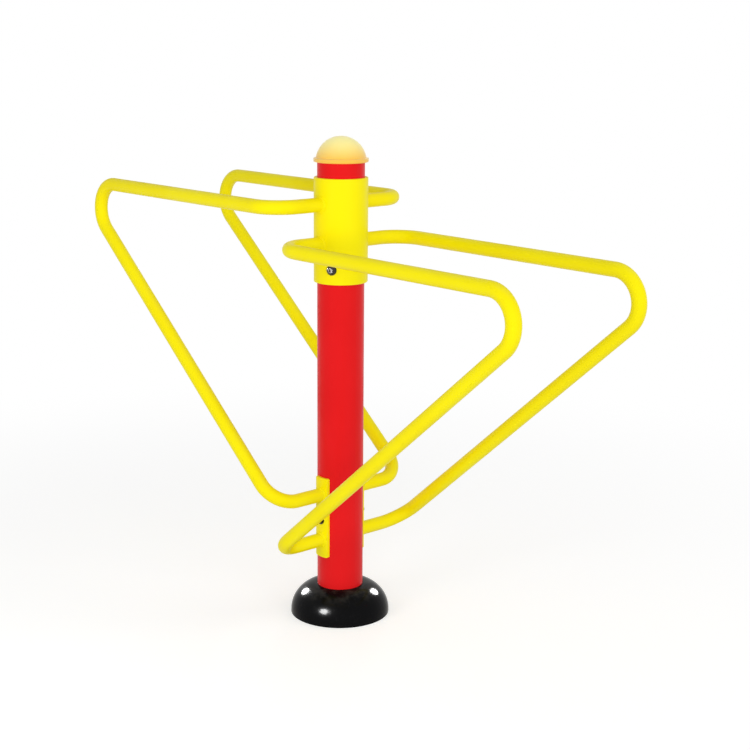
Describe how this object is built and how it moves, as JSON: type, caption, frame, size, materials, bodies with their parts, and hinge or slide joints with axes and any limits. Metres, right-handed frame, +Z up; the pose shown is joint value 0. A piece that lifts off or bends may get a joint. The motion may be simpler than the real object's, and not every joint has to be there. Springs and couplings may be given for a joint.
{
  "type": "outdoor parallel bars",
  "caption": "Outdoor parallel bars: bent tube bars at a higher and a lower station on a central post, with a domed cap and a lift-up base cover over the anchor flange.",
  "frame": {"origin": "on the post's axis at ground level, which is the underside of the base flange and of the base cover", "axes": "+Z up along the post, +X towards the lower pair of bars, -Y the front side"},
  "size_m": [1.8959, 0.5476, 1.465],
  "materials": {
    "post_red": "glossy red powder coat on steel tube",
    "bar_yellow": "glossy yellow powder coat on steel",
    "cover_black": "glossy black moulded plastic",
    "cap_cream": "pale yellow translucent moulded plastic",
    "bolt_steel": "darkened stainless steel",
    "flange_zinc": "galvanised steel"
  },
  "bodies": {
    "bar_frame": {"post_tube": "post_red", "base_flange": "flange_zinc", "base_gussets": "flange_zinc", "base_weld": "flange_zinc", "top_cap": "cap_cream", "sleeve": "bar_yellow", "saddle_front": "bar_yellow", "saddle_rear": "bar_yellow", "upper_bar_front": "bar_yellow", "upper_bar_rear": "bar_yellow", "lower_bar_front": "bar_yellow", "lower_bar_rear": "bar_yellow", "upper_bar_welds": "bar_yellow", "lower_bar_welds": "bar_yellow", "upper_foot_welds": "bar_yellow", "lower_foot_welds": "bar_yellow", "sleeve_bolts": "bolt_steel", "sleeve_washers": "bolt_steel", "sleeve_bosses": "flange_zinc", "saddle_bolts": "bolt_steel", "saddle_washers": "bolt_steel", "saddle_bosses": "flange_zinc"},
    "cover": {"base_cover": "cover_black"}
  },
  "joints": [
    {"name": "cover_lift", "type": "slide", "parent": "bar_frame", "child": "cover", "axis": [0, 0, 1], "range_m": [0, 0.1]}
  ]
}
